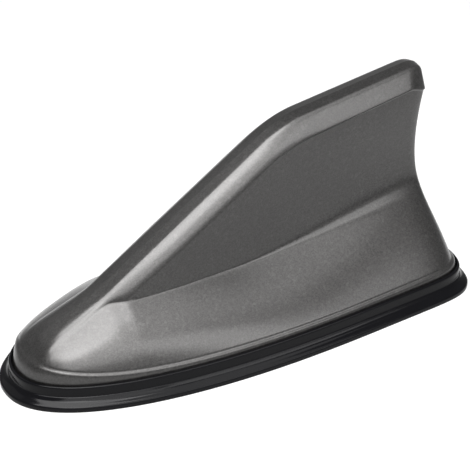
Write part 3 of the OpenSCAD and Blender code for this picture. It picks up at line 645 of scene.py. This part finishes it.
def rail_curve(foot, head, x):
    """Sideways section of the rail, from its foot to the spine's edge: rounder on the ramp than on top"""
    full = along_cover(RAIL_FULLNESS, x)
    across, up = (foot[0] - head[0]) / 3, (head[1] - foot[1]) / 3
    return (
        foot,
        (foot[0] - (1 - full) * across, foot[1] + up * (1 + 0.5 * full)),
        (head[0] + across * (1 + 0.5 * full), head[1] - up * (1 - 0.35 * full)),
        head)


def rounded(points, corners):
    """Rounds a line of points at its corners: each point becomes the mean of the line near it."""
    along = [0.0]
    for a, b in zip(points, points[1:]):
        along.append(along[-1] + math.dist(a, b))
    end = along[-1]
    made = []
    for j, s in enumerate(along):
        reach = min(s, max(LEAST_ROUND, *(size - 0.5 * abs(s - along[k]) for k, size in corners)))
        total, weight_sum = [0.0, 0.0, 0.0], 0.0
        for k in range(-ROUND_SAMPLES, ROUND_SAMPLES + 1):
            weight = 1 - abs(k) / (ROUND_SAMPLES + 1)
            point = at_length(points, along, s + reach * k / ROUND_SAMPLES, end, j)
            total = [t + weight * p for t, p in zip(total, point)]
            weight_sum += weight
        made.append(tuple(t / weight_sum for t in total))
    made[0] = points[0]
    made[-1] = (made[-1][0], 0.0, made[-1][2])
    return made


def at_length(points, along, s, end, near):
    """The point of a line at a length along it, looked for from the point numbered near.

    Past its end the line goes on as its mirror image."""
    flip = s > end
    if flip:
        s = 2 * end - s
    s = max(0.0, s)
    k = min(near, len(points) - 2)
    while k > 0 and along[k] > s:
        k -= 1
    while k < len(points) - 2 and along[k + 1] < s:
        k += 1
    gap = along[k + 1] - along[k]
    x, y, z = mix_points(points[k], points[k + 1], (s - along[k]) / gap if gap > 1e-9 else 0.0)
    return (x, -y, z) if flip else (x, y, z)


def rib_places(count):
    """Places of the ribs, closer together where the outline curves"""
    ahead = [1 - (1 - i / count) ** RIB_CROWDING for i in range(count + 1)]
    return ahead + [1 + share ** TAIL_CROWDING for share in ahead[1:]]


# Angles from which an edge between two faces is shaded sharp
COVER_SHARP = math.radians(55)
SKIRT_SHARP = math.radians(40)


class Net:
    """Mesh of rows of points and their mirror image about the middle plane"""

    def __init__(self):
        self.points = []
        self.faces = []

    def rows(self, lines):
        """Adds the lines' points and returns their numbers, on the near side and on the mirrored side."""
        sides = ([], [])
        for line in lines:
            for side, sign in enumerate((1, -1)):
                numbers = []
                for k, (x, y, z) in enumerate(line):
                    if side and abs(y) < 1e-7:
                        numbers.append(sides[0][-1][k])
                    else:
                        numbers.append(len(self.points))
                        self.points.append((x * MM, sign * y * MM, z * MM))
                sides[side].append(numbers)
        return sides

    def skin(self, sides, looped=False, inward=False):
        """Faces between neighbouring lines. The last point of a looped line also joins its first."""
        for side, lines in enumerate(sides):
            for a, b in zip(lines, lines[1:]):
                count = len(a)
                for k in range(count if looped else count - 1):
                    n = (k + 1) % count
                    self.face((a[k], a[n], b[n], b[k]), bool(side) != inward)

    def face(self, corners, flip):
        """One face, without the corners that are the same point"""
        kept = []
        for corner in corners:
            if corner not in kept:
                kept.append(corner)
        if len(kept) > 2:
            self.faces.append(tuple(reversed(kept)) if flip else tuple(kept))

    def piece(self, name, finish, sharp):
        """The mesh as an object, shaded smooth but for its sharp edges"""
        mesh = bpy.data.meshes.new(name)
        mesh.from_pydata(self.points, [], self.faces)
        mesh.validate()
        mesh.polygons.foreach_set("use_smooth", [True] * len(mesh.polygons))
        mesh.set_sharp_from_angle(angle=sharp)
        mesh.materials.append(finish)
        made = bpy.data.objects.new(name, mesh)
        bpy.context.scene.collection.objects.link(made)
        return made


def keep(piece, node):
    """The piece stands for a node and rides on the body."""
    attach(piece, "root")
    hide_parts(node)


class MakeCover(bpy.types.Operator):
    """Makes the painted fin cover: a smooth shell drawn through fine ribs"""
    bl_idname = "aerial.make_cover"
    bl_label = "Fin cover"

    def execute(self, context):
        shape = context.scene.aerial_shape
        body = Body(shape)
        places = rib_places(shape.ribs)
        net = Net()
        outer = net.rows([body.smooth_rib(u) for u in places])
        inner = net.rows([body.rib(u, shape.wall / MM, INNER_STEPS)[0] for u in places])
        net.skin(outer, inward=True)
        net.skin(inner)
        for side in (0, 1):
            for k in range(len(places) - 1):
                a, b = outer[side][k][0], outer[side][k + 1][0]
                c, d = inner[side][k + 1][0], inner[side][k][0]
                net.face((a, b, c, d), bool(side))
        cover = net.piece("fin_cover_skin", metallic_paint(context.scene.aerial_finish), COVER_SHARP)
        keep(cover, "fin_cover")
        return {"FINISHED"}


# Inner edges of the seat under the cover and of the thin web, and the web's thickness
SEAT_IN = -2.35
WEB_IN = -10.2
WEB = 1.2
# Section of the rubber skirt: distance out from the cover as a share of the skirt, or in millimetres inwards
# where it is negative, and height
SKIRT_SECTION = (
    (0.93, 0.0), (0.985, 0.1), (1.0, 0.45), (1.0, 1.2), (0.99, 1.5), (0.94, 1.75), (0.86, 1.95), (0.74, 2.15),
    (0.62, 2.4), (0.5, 2.75), (0.42, 3.1), (0.365, 3.45), (0.33, 3.62), (0.3, 3.66), (0.28, 3.8), (0.27, 4.1),
    (0.27, 5.9), (0.262, 6.4), (0.235, 6.72), (0.18, 6.87), (0.12, SKIRT_TOP), (0.06, 6.84), (0.03, 6.6),
    (0.03, COVER_Z), (SEAT_IN, COVER_Z), (SEAT_IN, WEB), (WEB_IN, WEB), (WEB_IN, 0.0))


class MakeSkirt(bpy.types.Operator):
    """Makes the rubber skirt with its lip, its step and its flared flange"""
    bl_idname = "aerial.make_skirt"
    bl_label = "Rubber skirt"

    def execute(self, context):
        shape = context.scene.aerial_shape
        body = Body(shape)

        def point(u, place, z):
            x, y = body.cover_line(u, -place) if place < 0 else body.skirt_line(u, place)
            return x, y, z

        lines = [[point(u, place, z) for place, z in SKIRT_SECTION] for u in rib_places(shape.ribs)]
        net = Net()
        net.skin(net.rows(lines), looped=True, inward=True)
        skirt = net.piece("rubber_skirt", skirt_rubber(context.scene.aerial_finish), SKIRT_SHARP)
        keep(skirt, "base_gasket")
        return {"FINISHED"}


class DressSolids(bpy.types.Operator):
    """Gives each carried-over solid the finish of its slot"""
    bl_idname = "aerial.dress_solids"
    bl_label = "Base, electronics and radiator"

    def execute(self, context):
        made = finishes()
        slots = {part["node"]: part["material_slot"] for part in frame["record"]["subparts"]}
        for name, node in frame["nodes"].items():
            if slots[name] not in made:
                continue
            for place in node.material_slots:
                place.material = made[slots[name]]
        return {"FINISHED"}


# Studio

# Camera, fitted to the outlines in the photograph: the point that it turns round, focal length and shift
CAMERA_TARGET = Vector((0.0, 0.0, 0.02583))
LENS = 115.73
SHIFT = (0.01762, 0.01615)
# Lamps: place, the point that they face, and width and height
LAMPS = {
    "key": ((-0.30, -0.62, 0.75), (-0.03, 0, 0.03), (0.7, 0.7)),
    "nose": ((-0.18, -0.08, 0.50), (-0.03, 0, 0.03), (0.35, 0.35)),
    "side": ((0.28, -0.75, 0.63), (0.03, 0, 0.05), (0.6, 0.3)),
    "low": ((0, -0.95, 0.33), (0, 0, 0.02), (0.8, 0.3)),
    "body": ((0.08, -0.12, 0.36), (-0.02, -0.013, 0.02), (0.22, 0.22)),
    "back": ((-0.45, 0.90, 0.90), (0, 0, 0.03), (0.9, 0.7)),
}
WHITE = (1.0, 1.0, 1.0, 1.0)
FLOOR_HALF = 4.0
FLOOR_GREY = (0.38, 0.38, 0.38, 1.0)
# Brightness of the floor and of the sky where they are seen, and of the sky's light on pieces
FLOOR_GLOW = 0.53
SKY_GLOW = 0.36
SKY_LIGHT = 0.06


def lamp(name, place, target, size, power):
    """A soft rectangular lamp that the camera doesn't see"""
    data = bpy.data.lights.new(name, "AREA")
    data.shape = "RECTANGLE"
    data.size, data.size_y = size
    data.energy = power
    made = bpy.data.objects.new(name, data)
    made.location = place
    made.rotation_euler = (Vector(target) - Vector(place)).to_track_quat("-Z", "Y").to_euler()
    made.visible_camera = False
    bpy.context.scene.collection.objects.link(made)


class MakeStudio(bpy.types.Operator):
    """Makes the pale floor, the soft lamps, the world and the camera"""
    bl_idname = "aerial.make_studio"
    bl_label = "Studio"

    def execute(self, context):
        scene = context.scene
        studio = scene.aerial_studio
        self.floor()
        self.world(scene)
        for name, (place, target, size) in LAMPS.items():
            lamp(f"{name}_lamp", place, target, size, getattr(studio, f"{name}_power"))
        self.camera(scene, studio)
        scene.view_settings.view_transform = "Standard"
        return {"FINISHED"}

    @staticmethod
    def camera(scene, studio):
        camera = bpy.data.cameras.new("camera")
        camera.lens = LENS
        camera.shift_x, camera.shift_y = SHIFT
        camera.clip_start = 0.01
        holder = bpy.data.objects.new("camera", camera)
        back = Vector((
            -math.sin(studio.azimuth) * math.cos(studio.elevation),
            -math.cos(studio.azimuth) * math.cos(studio.elevation),
            math.sin(studio.elevation)))
        holder.location = CAMERA_TARGET + back * studio.distance
        holder.rotation_euler = (-back).to_track_quat("-Z", "Y").to_euler()
        scene.collection.objects.link(holder)
        scene.camera = holder

    @staticmethod
    def floor():
        half = FLOOR_HALF
        mesh = bpy.data.meshes.new("floor")
        mesh.from_pydata(
            [(-half, -half, 0), (half, -half, 0), (half, half, 0), (-half, half, 0)], [], [(0, 1, 2, 3)])
        made, tree = material("floor")
        pale = tree.node("ShaderNodeBsdfDiffuse", {}, {"Color": FLOOR_GREY})
        glow = tree.node("ShaderNodeEmission", {}, {"Color": WHITE, "Strength": tree.seen() * FLOOR_GLOW})
        both = tree.node("ShaderNodeAddShader", {}, {0: pale, 1: glow})
        tree.node("ShaderNodeOutputMaterial", {}, {"Surface": both})
        mesh.materials.append(made)
        floor = bpy.data.objects.new("floor", mesh)
        bpy.context.scene.collection.objects.link(floor)

    @staticmethod
    def world(scene):
        scene.world = bpy.data.worlds.new("studio")
        tree = Tree(scene.world)
        strength = tree.seen() * SKY_GLOW + SKY_LIGHT
        sky = tree.node("ShaderNodeBackground", {}, {"Color": WHITE, "Strength": strength})
        tree.node("ShaderNodeOutputWorld", {}, {"Surface": sky})


class AerialPanel(bpy.types.Panel):
    """Sizes, colours and pieces of the aerial"""
    bl_idname = "AERIAL_PT_panel"
    bl_label = "Shark fin aerial"
    bl_space_type = "VIEW_3D"
    bl_region_type = "UI"
    bl_category = "Aerial"

    def draw(self, context):
        for group in (context.scene.aerial_shape, context.scene.aerial_finish, context.scene.aerial_studio):
            box = self.layout.box()
            for name in group.__annotations__:
                box.prop(group, name)
        for operator in PIECES:
            self.layout.operator(operator.bl_idname)


PIECES = (MakeCover, MakeSkirt, DressSolids, MakeStudio)
GROUPS = {"aerial_shape": AerialShape, "aerial_finish": AerialFinish, "aerial_studio": AerialStudio}


def register():
    for name, group in GROUPS.items():
        bpy.utils.register_class(group)
        setattr(bpy.types.Scene, name, bpy.props.PointerProperty(type=group))
    for operator in PIECES:
        bpy.utils.register_class(operator)
    bpy.utils.register_class(AerialPanel)


def unregister():
    bpy.utils.unregister_class(AerialPanel)
    for operator in reversed(PIECES):
        bpy.utils.unregister_class(operator)
    for name, group in GROUPS.items():
        delattr(bpy.types.Scene, name)
        bpy.utils.unregister_class(group)


def main():
    register()
    bpy.ops.aerial.make_cover()
    bpy.ops.aerial.make_skirt()
    bpy.ops.aerial.dress_solids()
    bpy.ops.aerial.make_studio()


if __name__ == "__main__":
    main()
